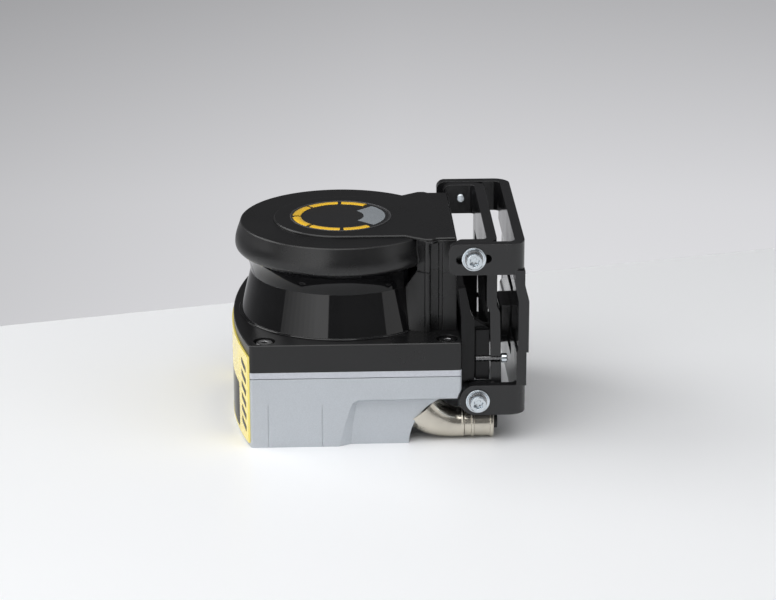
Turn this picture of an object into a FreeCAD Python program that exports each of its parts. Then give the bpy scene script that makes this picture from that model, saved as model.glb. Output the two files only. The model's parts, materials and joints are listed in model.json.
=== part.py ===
import FreeCAD, Part
import math
import os

# Safety laser scanner on a tilting wall bracket, in millimetres.
# Origin: on the scan axis, at the underside of the base. +X points to the rear (towards the
# wall bracket), -X is the curved front, +Z is up. -Y is the side with the cable connector.

V = FreeCAD.Vector

# ---- driving dimensions: scanner body -------------------------------------------------------
BODY_HALF = 70.0          # half of the body width
CORNER_X = -57.0          # where the straight side meets the curved front
BULGE_X = -67.0           # foremost point of the curved front
REAR_X = 71.0
WALL = 3.0
EDGE_RADIUS = 2.0

FLOOR_T = 6.0
BASE_TOP = 43.9
LID_TOP = 48.2
LID_GAP = 0.5             # height of the shadow gap under the lid
HOUSING_TOP = 65.7
NECK_Z = 92.4
SEAM_Z = 104.0            # joint between the rear pillar and the cap
SEAM_GAP = 0.5
CAP_WALL_Z = 106.6
CAP_WIDEST_Z = 110.8
CAP_FLANGE = 1.4          # thin rim of the cap that covers the grooves of the pillar
CAP_TOP = 123.7
PLATE_TOP = 125.1

COVER_R = 62.4            # outer radius of the optics cover at the housing
NECK_R = 56.0
CAP_WALL_R = 64.3
CAP_WIDEST_R = 65.2
CAP_TOP_R = 61.2
HOOD_FLARE = ((56.3, 95.0), (57.0, 98.0), (58.5, 101.4), (60.3, 104.2))   # r, z
HOOD_RIM_R = 62.4
KEYHOLE_R = 42.0          # round part of the raised top plate

# rear pillar and the block of the cap above it, half outline
PILLAR_FRONT_X = 39.0
PILLAR_RIB = ((49.3, 49.5), (49.8, 50.2), (50.6, 50.6), (51.8, 50.6), (52.6, 50.2), (53.0, 49.5))
PILLAR_GROOVE = ((53.3, 44.8), (58.0, 44.8), (58.4, 46.2), (60.2, 46.2))
PILLAR_BACK = ((60.5, 48.0), (69.0, 48.0))

# ---- driving dimensions: front ---------------------------------------------------------------
LABEL_T = 1.0
LABEL_BOTTOM = 3.0
LABEL_SIDE_TOP = 58.0
LABEL_MID_TOP = 60.5
WINDOW_HALF = 47.0
WINDOW_BOTTOM = 5.0
WINDOW_TOP = 34.0
MARK_COUNT = 6

# ---- driving dimensions: fasteners between head and base ---------------------------------------
LOCK_X = (-48.0, 62.5)
LOCK_Y = 61.5
LOCK_POCKET_R = 6.75
LOCK_SHANK_R = 2.5

# ---- driving dimensions: connector ----------------------------------------------------------
CON_Y = -55.5
CON_Z = 9.6
CON_R = 9.3
ELBOW_END_X = 68.0
ELBOW_BEND_R = 20.0
ELBOW_TURN = 51.5
ELBOW_TAIL = 9.0          # straight end of the elbow inside the base
NOSE_R = 7.4
NUT_X0 = 73.2
NUT_X1 = 91.2
RUN_CLEAR = 0.05          # radial running clearance

# ---- driving dimensions: bracket ----------------------------------------------------------------
PIVOT_X = 80.8
PIVOT_Z = 27.8
CLAMP_X = 77.8
CLAMP_Z = 118.4
TILT_LIMIT = 5.0          # degrees each way
ARM_OUT = 69.0            # outer face of the wall bracket's arms
ARM_IN = 63.0
DEVICE_ARM_OUT = 62.9
DEVICE_ARM_IN = 57.0
SHOULDER_R = 2.7
THREAD_R = 2.5
BEND_R = 10.0
WALL_PLATE_X = (102.9, 108.9)
WALL_FOOT_OUT = 1.3        # how much further out the lower half of the wall bracket stands
PAD_X = (105.1, 111.5)
PAD_Z = (58.2, 90.9)
PAD_SLOPE_TOP = 101.0
WALL_HOLE_R = 3.3
WALL_HOLE_Y = 59.0
WALL_HOLE_Z = (66.5, 82.5)
WALL_SLOT_R = 3.5
WALL_SLOT_Y = 24.0          # centres of a slot's round ends
WALL_SLOT_Z = (45.0, 82.0)
DEVICE_PLATE_X = (86.3, 92.5)
MOUNT_PLATE_X = (71.0, 77.0)
LINK_Y = 59.6
LINK_Z = 52.0
LINK_R = 1.8

parts = {}


# ---- helpers --------------------------------------------------------------------------------
def box(x0, x1, y0, y1, z0, z1):
    return Part.makeBox(x1 - x0, y1 - y0, z1 - z0, V(x0, y0, z0))


def rod(radius, start, end):
    """Cylinder from one point to another."""
    a = V(*start)
    b = V(*end)
    return Part.makeCylinder(radius, (b - a).Length, a, b - a)


def disc(radius, z0, z1, x=0.0, y=0.0):
    return rod(radius, (x, y, z0), (x, y, z1))


def ring(outer, inner, z0, z1, x=0.0, y=0.0):
    return disc(outer, z0, z1, x, y).cut(disc(inner, z0 - 1.0, z1 + 1.0, x, y))


def fused(shapes):
    whole = shapes[0]
    for shape in shapes[1:]:
        whole = whole.fuse(shape)
    return whole.removeSplitter()


def without(shape, cutters):
    for cutter in cutters:
        shape = shape.cut(cutter)
    return shape


def plan_prism(points, z0, z1):
    """Upright prism on a closed outline of (x, y) points."""
    corners = [V(x, y, z0) for x, y in points]
    return Part.Face(Part.makePolygon(corners + corners[:1])).extrude(V(0, 0, z1 - z0))


def side_prism(points, y0, y1):
    """Prism along Y on a closed outline of (x, z) points."""
    corners = [V(x, y0, z) for x, z in points]
    return Part.Face(Part.makePolygon(corners + corners[:1])).extrude(V(0, y1 - y0, 0))


def revolved(points):
    """Full turn about the scan axis of a closed outline of (radius, z) points."""
    corners = [V(r, 0, z) for r, z in points]
    return Part.Face(Part.makePolygon(corners + corners[:1])).revolve(V(0, 0, 0), V(0, 0, 1), 360)


def smooth_curve(points):
    curve = Part.BSplineCurve()
    curve.interpolate(points)
    return curve.toShape()


def both_sides(shape):
    """The shape and its mirror image in the middle plane."""
    return [shape, shape.mirror(V(0, 0, 0), V(0, 1, 0))]


def upright_edges(shape, wanted):
    found = []
    for edge in shape.Edges:
        box_of = edge.BoundBox
        if box_of.XLength < 1e-6 and box_of.YLength < 1e-6 and wanted(box_of.XMin, box_of.YMin):
            found.append(edge)
    return found


def body_prism(inset, z0, z1, rear_inset=None):
    """The scanner's plan outline, with its curved front, moved inwards by inset."""
    half = BODY_HALF - inset
    corner = CORNER_X + inset
    rear = REAR_X - (inset if rear_inset is None else rear_inset)
    near = V(corner, -half, z0)
    far = V(corner, half, z0)
    front = Part.Arc(near, V(BULGE_X + inset, 0, z0), far).toShape()
    sides = [
        Part.makeLine(far, V(rear, half, z0)),
        Part.makeLine(V(rear, half, z0), V(rear, -half, z0)),
        Part.makeLine(V(rear, -half, z0), near),
    ]
    return Part.Face(Part.Wire([front] + sides)).extrude(V(0, 0, z1 - z0))


def rounded_body(inset, z0, z1):
    solid = body_prism(inset, z0, z1)
    return solid.makeFillet(EDGE_RADIUS, upright_edges(solid, lambda x, y: True))


def lock_places():
    return [(x, y) for x in LOCK_X for y in (-LOCK_Y, LOCK_Y)]


def pillar_outline(front_points):
    """Closed plan outline of the rear pillar from its front corner points (near half)."""
    half = list(front_points) + list(PILLAR_RIB + PILLAR_GROOVE + PILLAR_BACK)
    near = [(x, -y) for x, y in half]
    far = [(x, y) for x, y in reversed(half)]
    return near + far


# ---- base -----------------------------------------------------------------------------------
ARCH = (39.2, 44.5, 58.0)       # x of the arch at its foot, middle and top
ARCH_Z = (0.0, 17.0, 28.5)
RECESS_INNER_Y = -40.0


def arch_cutter(grow, y0, y1):
    """Space behind the arched edge of the connector recess, grown outwards."""
    foot = V(ARCH[0] - grow, y0, -1.0)
    middle = V(ARCH[1] - grow, y0, ARCH_Z[1] + grow)
    top = V(ARCH[2] - grow * 0.3, y0, ARCH_Z[2] + grow)
    end = V(REAR_X + 5.0, y0, ARCH_Z[2] + grow)
    low = V(REAR_X + 5.0, y0, -1.0)
    curve = Part.Arc(foot, middle, top).toShape()
    lines = [Part.makeLine(top, end), Part.makeLine(end, low), Part.makeLine(low, foot)]
    return Part.Face(Part.Wire([curve] + lines)).extrude(V(0, y1 - y0, 0))


def side_panel_cutter():
    """Shallow pocket in the near side, with sloping edges, that runs out at the arch."""
    outer = [(-3.5, -1.0), (-0.2, 13.0), (3.5, 25.0), (5.2, 28.2), (8.5, 29.9), (80.0, 30.4), (80.0, -1.0)]
    inner = [(3.9, -1.0), (5.0, 13.0), (7.0, 24.5), (7.9, 26.6), (9.5, 27.4), (80.0, 28.4), (80.0, -1.0)]
    low = Part.makePolygon([V(x, -BODY_HALF - 0.01, z) for x, z in outer + outer[:1]])
    high = Part.makePolygon([V(x, -BODY_HALF + 4.0, z) for x, z in inner + inner[:1]])
    return Part.makeLoft([low, high], True, True)


def elbow_point(angle):
    """Centre of the elbow at an angle from its straight end, in degrees."""
    turn = math.radians(angle)
    x = ELBOW_END_X - ELBOW_BEND_R * math.sin(turn)
    z = CON_Z + ELBOW_BEND_R * (1.0 - math.cos(turn))
    return V(x, CON_Y, z)


def elbow_direction():
    turn = math.radians(ELBOW_TURN)
    return V(-math.cos(turn), 0, math.sin(turn))


def make_base():
    shell = rounded_body(0.0, 0.0, BASE_TOP)
    cavity = body_prism(9.0, FLOOR_T, BASE_TOP + 1.0, 4.0)
    cavity = cavity.cut(arch_cutter(4.0, -BODY_HALF, RECESS_INNER_Y + 3.0))
    for x, y in lock_places():
        cavity = cavity.cut(disc(9.0, 30.0, BASE_TOP + 2.0, x, y))
    for y in (-20.0, 20.0):
        cavity = cavity.cut(rod(6.0, (58.0, y, 33.0), (REAR_X, y, 33.0)))
    relief = [rod(12.6, (PIVOT_X, y, PIVOT_Z), (PIVOT_X, y + 15.0, PIVOT_Z)) for y in (-71.0, 56.0)]
    cutters = [cavity, side_panel_cutter(), arch_cutter(0.0, -BODY_HALF - 1.0, RECESS_INNER_Y)] + relief
    cutters.append(box(-46.0, 30.0, -52.0, 52.0, -1.0, 2.5))
    cutters.append(box(-38.0, 22.0, -46.0, 46.0, 2.0, FLOOR_T + 1.0))
    cutters.append(box(BULGE_X - 2.0, BULGE_X + 16.0, -38.0, 38.0, 9.0, 30.0))
    mouth = elbow_point(ELBOW_TURN)
    cutters.append(Part.makeCylinder(CON_R, 14.0, mouth - elbow_direction() * 2.0, elbow_direction()))
    for x, y in lock_places():
        cutters.append(disc(6.0, 37.0, BASE_TOP + 1.0, x, y))
    for x, y in cover_screw_places():
        cutters.append(disc(1.5, 2.0, FLOOR_T - 1.0, x, y))
    for y, z in mount_screw_places():
        cutters.append(rod(THREAD_R, (60.0, y, z), (REAR_X + 1.0, y, z)))
    for x in (-46.5, -13.8):
        cutters.append(box(x, x + 0.5, -BODY_HALF - 0.1, -BODY_HALF + 0.25, 0.0, 27.0))
    return without(shell, cutters)


def cover_screw_places():
    return [(x, y) for x in (-41.6, 25.6) for y in (-40.0, 40.0)]


def make_bottom_cover():
    plate = box(-45.8, 29.8, -51.8, 51.8, 0.0, 2.5)
    for x, y in cover_screw_places():
        plate = plate.cut(disc(1.6, -1.0, 4.0, x, y)).cut(disc(3.2, -1.0, 1.2, x, y))
    return plate


def make_cover_screws():
    screws = []
    for x, y in cover_screw_places():
        screw = disc(3.0, 0.2, 1.2, x, y).fuse(disc(1.45, 1.2, FLOOR_T - 1.2, x, y))
        screws.append(screw.cut(disc(1.0, -0.5, 0.9, x, y)))
    return Part.makeCompound(screws)


def make_lid():
    plate = rounded_body(0.0, BASE_TOP + LID_GAP, LID_TOP).fuse(body_prism(1.0, BASE_TOP, BASE_TOP + LID_GAP))
    cutters = [disc(28.0, BASE_TOP - 1.0, LID_TOP + 1.0), seal_loop(BASE_TOP + 3.2, LID_TOP + 1.0)]
    cutters.append(box(41.0, 55.0, -14.0, 14.0, BASE_TOP - 1.0, LID_TOP + 1.0))
    for x, y in lock_places():
        cutters.append(disc(3.0, BASE_TOP - 1.0, LID_TOP + 1.0, x, y))
        cutters.append(box(x - 5.6, x + 5.6, y - 2.1, y + 2.1, BASE_TOP - 1.0, LID_TOP + 1.0))
    return without(plate, cutters)


def seal_loop(z0, z1):
    return body_prism(13.0, z0, z1).cut(body_prism(15.0, z0 - 1.0, z1 + 1.0))


# ---- front ------------------------------------------------------------------------------------
def front_skin(out, back, half, z0, z1):
    """Thin curved sheet in front of the body: from back to out in front of its surface."""
    outer = body_prism(-out, z0, z1)
    inner = body_prism(-back, z0 - 1.0, z1 + 1.0)
    return outer.cut(inner).common(box(BULGE_X - 5.0, CORNER_X + 0.1, -half, half, z0, z1))


def yz_prism(points, x0, x1):
    corners = [V(x0, y, z) for y, z in points]
    return Part.Face(Part.makePolygon(corners + corners[:1])).extrude(V(x1 - x0, 0, 0))


def window_block(grow):
    """Rounded rectangle of the display window, as a cutter along X."""
    block = box(BULGE_X - 6.0, CORNER_X + 5.0, -WINDOW_HALF - grow, WINDOW_HALF + grow,
                WINDOW_BOTTOM - grow, WINDOW_TOP + grow)
    edges = [e for e in block.Edges if e.BoundBox.YLength < 1e-6 and e.BoundBox.ZLength < 1e-6]
    return block.makeFillet(3.0, edges)


def make_front_label():
    sheet = front_skin(LABEL_T, 0.0, BODY_HALF - 1.0, LABEL_BOTTOM, LABEL_MID_TOP + 1.0)
    x = BULGE_X - 8.0
    left = V(x, -BODY_HALF - 2.0, LABEL_SIDE_TOP)
    right = V(x, BODY_HALF + 2.0, LABEL_SIDE_TOP)
    crown = Part.Arc(left, V(x, 0, LABEL_MID_TOP), right).toShape()
    down = V(0, 0, -70.0)
    lines = [Part.makeLine(right, right + down), Part.makeLine(right + down, left + down),
             Part.makeLine(left + down, left)]
    shape = Part.Face(Part.Wire([crown] + lines)).extrude(V(30.0, 0, 0))
    return sheet.common(shape).cut(window_block(0.0))


def make_front_marks():
    """Column of slanting bars beside the window."""
    bars = []
    for index in range(MARK_COUNT):
        z = 9.0 + 7.6 * index
        points = [(-65.0, z), (-55.0, z + 3.2), (-55.0, z + 6.4), (-65.0, z + 3.2)]
        sheet = front_skin(LABEL_T + 0.15, LABEL_T, BODY_HALF, z - 1.0, z + 8.0)
        bars.append(sheet.common(yz_prism(points, BULGE_X - 5.0, CORNER_X + 1.0)))
    return Part.makeCompound(bars)


def make_display_window():
    return front_skin(LABEL_T - 0.1, 0.0, BODY_HALF, 0.0, 50.0).common(window_block(-0.05))


def make_display_board():
    board = box(-52.5, -51.0, -36.0, 36.0, 8.0, 32.0)
    screen = box(-54.5, -52.5, -16.0, 16.0, 13.0, 28.0)
    return board.fuse(screen)


def make_status_leds():
    return Part.makeCompound([rod(1.5, (-54.6, y, 20.5), (-52.5, y, 20.5)) for y in (-31.0, -25.0, 25.0, 31.0)])


def make_base_board():
    return box(-40.0, 30.0, -50.0, 50.0, 16.0, 17.6)


def make_board_parts():
    places = ((-25.0, -30.0, 14.0, 14.0, 3.0), (0.0, -32.0, 18.0, 12.0, 6.0), (-20.0, 5.0, 20.0, 20.0, 2.4),
              (12.0, 10.0, 10.0, 24.0, 8.0), (-28.0, 34.0, 12.0, 8.0, 5.0))
    return Part.makeCompound([box(x, x + dx, y, y + dy, 17.6, 17.6 + dz) for x, y, dx, dy, dz in places])


# ---- head ---------------------------------------------------------------------------------------
def make_scanner_housing():
    shell = rounded_body(0.0, LID_TOP, HOUSING_TOP)
    rim = [e for e in shell.Edges if e.BoundBox.ZMin > HOUSING_TOP - 1e-4]
    shell = shell.makeChamfer(0.6, rim)
    cavity = body_prism(WALL, LID_TOP - 1.0, HOUSING_TOP - 3.0)
    for x, y in lock_places():
        cavity = cavity.cut(disc(8.5, LID_TOP - 1.0, HOUSING_TOP, x, y))
    cutters = [cavity, disc(30.0, LID_TOP, HOUSING_TOP + 1.0)]
    cutters.append(box(46.0, 62.0, -16.0, 16.0, HOUSING_TOP - 4.0, HOUSING_TOP + 1.0))
    cutters.append(ring(60.2, 58.2, HOUSING_TOP - 1.2, HOUSING_TOP + 1.0))
    for x, y in lock_places():
        cutters.append(disc(LOCK_POCKET_R, HOUSING_TOP - 3.4, HOUSING_TOP + 1.0, x, y))
        cutters.append(disc(LOCK_SHANK_R + RUN_CLEAR, LID_TOP - 1.0, HOUSING_TOP, x, y))
    for x, y in carrier_screw_places():
        cutters.append(disc(1.5, HOUSING_TOP - 3.5, HOUSING_TOP - 1.2, x, y))
    return without(shell, cutters)


def make_window_seal():
    return ring(60.2, 58.2, HOUSING_TOP - 1.2, HOUSING_TOP)


def make_pillar():
    """Rear pillar: a three level loft whose front corners lean in with the optics cover."""
    levels = ((HOUSING_TOP, ((PILLAR_FRONT_X + 0.5, 46.8),)), (NECK_Z, ((PILLAR_FRONT_X - 0.9, 41.9),)),
              (SEAM_Z, ((45.0, 46.0),)))
    wires = []
    for z, front in levels:
        points = [V(x, y, z) for x, y in pillar_outline(front)]
        wires.append(Part.makePolygon(points + points[:1]))
    lower = Part.makeLoft(wires[:2], True, True)
    upper = Part.makeLoft(wires[1:], True, True)
    duct = box(48.0, 60.0, -14.0, 14.0, HOUSING_TOP - 1.0, SEAM_Z + 1.0)
    shell = lower.fuse(upper).removeSplitter().cut(duct)
    return without(shell, both_sides(seam_gap()))


def seam_gap():
    """Thin shadow gap round the far front corner of the pillar, right under the cap."""
    outline = ((43.0, 47.5), (45.4, 45.2), (49.9, 49.0), (52.3, 49.4), (54.0, 52.0), (43.0, 52.0))
    return plan_prism(outline, SEAM_Z - SEAM_GAP, SEAM_Z + 1.0)


def make_optics_cover(pillar_space):
    """Dark conical window round the mirror, open at the rear where the pillar stands."""
    t = 2.5
    lip = COVER_R + 1.2
    cone = revolved(((COVER_R - t - 1.8, HOUSING_TOP), (lip, HOUSING_TOP), (lip, HOUSING_TOP + 0.6),
                     (lip - 0.4, HOUSING_TOP + 0.9), (COVER_R - 0.2, HOUSING_TOP + 0.9), (NECK_R, NECK_Z),
                     (NECK_R - t, NECK_Z)))
    return largest(cone.cut(pillar_space))


def make_hood_ring(pillar_space):
    """Flared glossy ring between the neck of the window and the cap."""
    inner = NECK_R - 2.5
    corners = [V(HOOD_RIM_R, 0, CAP_WALL_Z), V(inner, 0, CAP_WALL_Z), V(inner, 0, NECK_Z), V(NECK_R, 0, NECK_Z)]
    flare = smooth_curve([corners[3]] + [V(r, 0, z) for r, z in HOOD_FLARE] + [corners[0]])
    wire = Part.Wire([flare] + Part.makePolygon(corners).Edges)
    ring_body = Part.Face(wire).revolve(V(0, 0, 0), V(0, 0, 1), 360)
    return largest(ring_body.cut(pillar_space))


def largest(shape):
    return max(shape.Solids, key=lambda solid: solid.Volume)


def pillar_space():
    """Everything behind the front faces of the pillar, used to trim the round parts."""
    block = make_pillar().fuse(box(PILLAR_FRONT_X + 1.0, 75.0, -46.8, 46.8, HOUSING_TOP, CAP_WALL_Z))
    front = side_prism(((PILLAR_FRONT_X + 0.5, HOUSING_TOP), (PILLAR_FRONT_X - 0.9, NECK_Z), (45.0, SEAM_Z),
                        (45.0, CAP_WALL_Z + 1.0), (75.0, CAP_WALL_Z + 1.0), (75.0, HOUSING_TOP)), -60.0, 60.0)
    return block.fuse(front)


def cap_block(z0, z1):
    return plan_prism(pillar_outline(((45.0, 46.0),)), z0, z1)


def make_cap():
    foot = V(CAP_WALL_R - 0.7, 0, CAP_WALL_Z)
    heel = V(CAP_WALL_R, 0, CAP_WALL_Z + 0.7)
    brow = V(CAP_TOP_R + 0.65, 0, CAP_TOP - 0.5)
    crown = V(CAP_TOP_R, 0, CAP_TOP)
    wall = smooth_curve([heel, V(CAP_WIDEST_R - 0.2, 0, CAP_WIDEST_Z - 2.2), V(CAP_WIDEST_R, 0, CAP_WIDEST_Z),
                         V(CAP_WIDEST_R - 0.35, 0, CAP_WIDEST_Z + 3.0), V(CAP_WIDEST_R - 1.5, 0, CAP_WIDEST_Z + 7.0),
                         V(CAP_WIDEST_R - 2.65, 0, CAP_WIDEST_Z + 10.2), brow])
    corners = [crown, V(0, 0, CAP_TOP), V(0, 0, CAP_WALL_Z), foot]
    edges = [Part.makeLine(foot, heel), wall, Part.makeLine(brow, crown)] + Part.makePolygon(corners).Edges
    turned = Part.Face(Part.Wire(edges)).revolve(V(0, 0, 0), V(0, 0, 1), 360)
    flange = ((45.0, 46.0),) + PILLAR_RIB[:3] + ((54.5, 50.6), (57.5, 48.3), PILLAR_BACK[-1])
    near = [(x, -y) for x, y in flange]
    far = [(x, y) for x, y in reversed(flange)]
    body = fused([turned, cap_block(SEAM_Z, CAP_TOP), plan_prism(near + far, CAP_TOP - CAP_FLANGE, CAP_TOP)])
    hollow = disc(CAP_WALL_R - 5.0, CAP_WALL_Z + 1.5, CAP_TOP - 2.5)
    throat = disc(NECK_R - 6.0, CAP_WALL_Z - 1.0, CAP_WALL_Z + 2.0)
    duct = box(48.0, 60.0, -14.0, 14.0, SEAM_Z - 1.0, CAP_TOP - 4.0)
    passage = box(40.0, 60.0, -14.0, 14.0, CAP_WALL_Z + 3.0, CAP_TOP - 4.0)
    return without(body, [hollow, throat, duct, passage])


def keyhole_prism(inset, z0, z1):
    half = KEYHOLE_R - inset
    round_part = disc(half, z0, z1)
    edge = [(38.0, half), (49.8, 50.2 - inset), (54.0, 50.2 - inset), (56.5, 48.0 - inset),
            (69.0 - inset, 47.4 - inset)]
    near = [(0.0, -half)] + [(x, -y) for x, y in edge]
    far = [(x, y) for x, y in reversed(edge)] + [(0.0, half)]
    return round_part.fuse(plan_prism(near + far, z0, z1)).removeSplitter()


def make_top_plate():
    plate = keyhole_prism(0.6, CAP_TOP, PLATE_TOP)
    rim = [e for e in plate.Edges if e.BoundBox.ZMin > PLATE_TOP - 1e-4]
    plate = plate.makeChamfer(0.7, rim)
    return plate.cut(disc(31.4, PLATE_TOP - 0.4, PLATE_TOP + 1.0))


# ---- scan range mark on top -----------------------------------------------------------------------
def sector_prism(r0, r1, start, sweep, z0, z1):
    """Part of a ring between two angles measured from the rear, in degrees."""
    face = Part.makeCylinder(r1, z1 - z0, V(0, 0, z0), V(0, 0, 1), sweep)
    if r0 > 0.0:
        face = face.cut(disc(r0, z0 - 1.0, z1 + 1.0))
    return face.rotate(V(0, 0, 0), V(0, 0, 1), start)


def make_range_disc():
    return disc(31.3, PLATE_TOP - 0.4, PLATE_TOP)


def make_range_segments():
    segments = []
    for start, end in ((54.0, 87.7), (92.3, 131.8), (137.2, 176.8)):
        segments.append(sector_prism(24.3, 29.7, start, end - start, PLATE_TOP, PLATE_TOP + 0.12))
        segments.append(sector_prism(24.3, 29.7, 360.0 - end, end - start, PLATE_TOP, PLATE_TOP + 0.12))
    return Part.makeCompound(segments)


def make_range_sector():
    sector = sector_prism(0.0, 27.6, -44.0, 88.0, PLATE_TOP, PLATE_TOP + 0.12)
    return sector.cut(disc(14.3, PLATE_TOP - 1.0, PLATE_TOP + 1.0))


def make_range_circle():
    return ring(31.2, 30.6, PLATE_TOP, PLATE_TOP + 0.1)


# ---- quarter-turn fasteners ------------------------------------------------------------------------
def hex_cutter(across, z0, z1, x, y):
    radius = across / math.sqrt(3.0)
    points = [(x + radius * math.cos(math.radians(60 * i)), y + radius * math.sin(math.radians(60 * i)))
              for i in range(6)]
    return plan_prism(points, z0, z1)


def make_lock_screw(x, y):
    seat = HOUSING_TOP - 3.4
    head = disc(5.2, seat, HOUSING_TOP - 0.6, x, y).cut(hex_cutter(4.0, seat + 0.8, HOUSING_TOP, x, y))
    shank = disc(LOCK_SHANK_R, 40.2, seat, x, y)
    ear = box(x - 1.8, x + 1.8, y - 5.2, y + 5.2, 40.2, BASE_TOP - 0.15)
    return fused([head, shank, ear])


# ---- motor, mirror and optics ------------------------------------------------------------------------
def carrier_screw_places():
    return [(33.0 * math.cos(math.radians(a)), 33.0 * math.sin(math.radians(a))) for a in (45, 135, 225, 315)]


def make_motor_carrier():
    flange = disc(37.0, 60.0, HOUSING_TOP - 3.0)
    can = disc(26.0, 43.5, 60.0)
    body = fused([flange, can])
    cutters = [disc(24.0, 49.0, HOUSING_TOP), disc(9.0, 44.5, 50.0), disc(6.0, 43.0, 45.0)]
    for x, y in carrier_screw_places():
        cutters.append(disc(1.5, 59.0, HOUSING_TOP, x, y))
    return without(body, cutters)


def make_carrier_screws():
    screws = []
    for x, y in carrier_screw_places():
        screws.append(disc(1.5, 60.0, HOUSING_TOP - 1.4, x, y).fuse(disc(2.8, 57.8, 60.0, x, y)))
    return Part.makeCompound(screws)


def make_upper_bearing_plate():
    return without(disc(24.0, 58.6, 62.6), [disc(9.0, 58.6, 61.8), disc(6.0, 58.0, 63.0)])


def make_bearings():
    return Part.makeCompound([ring(9.0, 4.0 + RUN_CLEAR, 44.9, 48.6), ring(9.0, 4.0 + RUN_CLEAR, 58.6, 61.8)])


def make_stator():
    body = ring(24.0, 13.3, 49.4, 57.4)
    slots = []
    for i in range(9):
        slot = box(14.8, 20.5, -2.1, 2.1, 48.0, 59.0)
        slots.append(slot.rotate(V(0, 0, 0), V(0, 0, 1), 40.0 * i))
    return without(body, slots)


def make_coils():
    coils = []
    for i in range(9):
        coil = box(14.9, 20.4, -1.9, 1.9, 49.2, 58.0)
        coils.append(coil.rotate(V(0, 0, 0), V(0, 0, 1), 40.0 * i))
    return Part.makeCompound(coils)


def make_shaft():
    return fused([disc(4.0, 43.9, 68.0), disc(5.2, 62.9, 64.4)])


def make_rotor_magnet():
    return ring(12.9, 4.0, 50.0, 57.0)


def make_encoder_disc():
    wheel = ring(27.0, 5.5, 64.4, 65.0)
    slots = []
    for i in range(36):
        slot = box(23.5, 26.0, -0.9, 0.9, 63.0, 66.0)
        slots.append(slot.rotate(V(0, 0, 0), V(0, 0, 1), 10.0 * i))
    return without(wheel, slots)


def make_mirror_carrier():
    """Drum cut off at 45 degrees to carry the mirror."""
    drum = disc(22.0, 66.0, 92.0)
    hub = disc(8.0, 65.0, 66.0)
    cut = side_prism(((-30.0, 66.6), (-4.0, 92.6), (-30.0, 92.6)), -30.0, 30.0)
    cut = cut.fuse(side_prism(((-30.0, 52.0), (-30.0, 100.0), (18.0, 100.0)), -30.0, 30.0))
    body = fused([drum, hub]).cut(cut)
    return largest(body.cut(disc(4.0, 60.0, 68.0)))


def make_mirror():
    plate = side_prism(((-30.0, 52.0), (18.0, 100.0), (16.6, 101.4), (-31.4, 53.4)), -30.0, 30.0)
    return largest(plate.common(disc(21.5, 66.0, 92.0)))


def make_encoder_sensor():
    return box(23.2, 29.2, -5.0, 5.0, HOUSING_TOP - 3.0, 67.0).cut(box(22.0, 28.0, -6.0, 6.0, 63.9, 65.5))


def make_lens_holder():
    flange = ring(50.5, 17.0, CAP_WALL_Z + 1.5, CAP_WALL_Z + 3.5)
    tube = ring(19.0, 17.0, 97.0, CAP_WALL_Z + 1.5)
    return fused([flange, tube])


def make_receiver_lens():
    lens = disc(17.0, 98.0, 103.0)
    dome = Part.makeSphere(30.0, V(0, 0, 126.5))
    return lens.common(dome).cut(disc(4.5, 90.0, 105.0))


def make_laser_module():
    return fused([disc(4.4, 97.2, 108.0), disc(6.0, 108.0, 111.0)])


def make_optics_board():
    return disc(40.0, 114.0, 115.6).cut(disc(6.5, 113.0, 117.0))


def make_board_posts():
    places = [(34.0 * math.cos(math.radians(a)), 34.0 * math.sin(math.radians(a))) for a in (30, 150, 270)]
    return Part.makeCompound([disc(3.0, CAP_WALL_Z + 3.5, 114.0, x, y) for x, y in places])


def make_link_connector():
    return box(42.0, 54.0, -12.0, 12.0, 40.0, 56.0)


# ---- connector ------------------------------------------------------------------------------------
def elbow_pipe(radius, straight_end, tail):
    """Round bar along the elbow's path: straight nose, bend, and tail through the base wall."""
    front = V(straight_end, CON_Y, CON_Z)
    start = V(ELBOW_END_X, CON_Y, CON_Z)
    mouth = elbow_point(ELBOW_TURN)
    end = mouth + elbow_direction() * tail
    bend = Part.Arc(start, elbow_point(ELBOW_TURN / 2.0), mouth).toShape()
    path = Part.Wire([Part.makeLine(front, start), bend, Part.makeLine(mouth, end)])
    circle = Part.Wire([Part.Circle(front, V(1, 0, 0), radius).toShape()])
    return path.makePipeShell([circle], True, False)


def make_elbow():
    nose = rod(NOSE_R, (NUT_X0 - 1.0, CON_Y, CON_Z), (82.0, CON_Y, CON_Z))
    body = elbow_pipe(CON_R, NUT_X0 - 0.4, ELBOW_TAIL).fuse(nose)
    groove = rod(CON_R + 1.0, (70.6, CON_Y, CON_Z), (71.2, CON_Y, CON_Z))
    groove = groove.cut(rod(CON_R - 0.35, (70.0, CON_Y, CON_Z), (72.0, CON_Y, CON_Z)))
    return without(body, [elbow_pipe(5.5, 83.0, ELBOW_TAIL + 1.0), groove])


def make_coupling_nut():
    body = rod(CON_R, (NUT_X0, CON_Y, CON_Z), (NUT_X1, CON_Y, CON_Z))
    cutters = [rod(NOSE_R + RUN_CLEAR, (NUT_X0 - 1.0, CON_Y, CON_Z), (82.2, CON_Y, CON_Z)),
               rod(6.0, (82.0, CON_Y, CON_Z), (NUT_X1 + 1.0, CON_Y, CON_Z))]
    for x in (78.2, 80.0):
        band = rod(CON_R + 1.0, (x, CON_Y, CON_Z), (x + 0.5, CON_Y, CON_Z))
        cutters.append(band.cut(rod(CON_R - 0.35, (x - 1.0, CON_Y, CON_Z), (x + 2.0, CON_Y, CON_Z))))
    return without(body, cutters)


def contact_places():
    ring_places = [(2.6 * math.cos(math.radians(a)), 2.6 * math.sin(math.radians(a)))
                   for a in (25, 76, 127, 178, 229, 280, 331)]
    return ring_places + [(0.0, 0.0)]


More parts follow.
